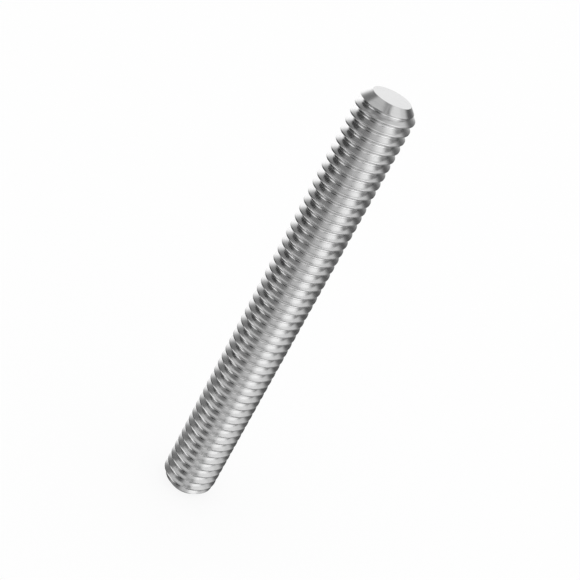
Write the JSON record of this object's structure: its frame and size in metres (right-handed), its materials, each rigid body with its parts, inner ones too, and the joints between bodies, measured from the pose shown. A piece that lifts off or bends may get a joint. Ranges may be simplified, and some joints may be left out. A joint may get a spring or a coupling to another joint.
{
  "type": "threaded rod",
  "caption": "Fully threaded steel rod with a metric coarse right-hand thread and a turned chamfer at both ends.",
  "frame": {"origin": "centre of the lower end face", "axes": "+Z along the rod's axis, from the lower end face to the upper one; X and Y are free, and a crest leaves the lower end face on +X"},
  "size_m": [0.006, 0.006, 0.05],
  "materials": {
    "steel": "bright rolled steel, satin"
  },
  "bodies": {
    "root": {"rod": "steel"}
  },
  "joints": []
}
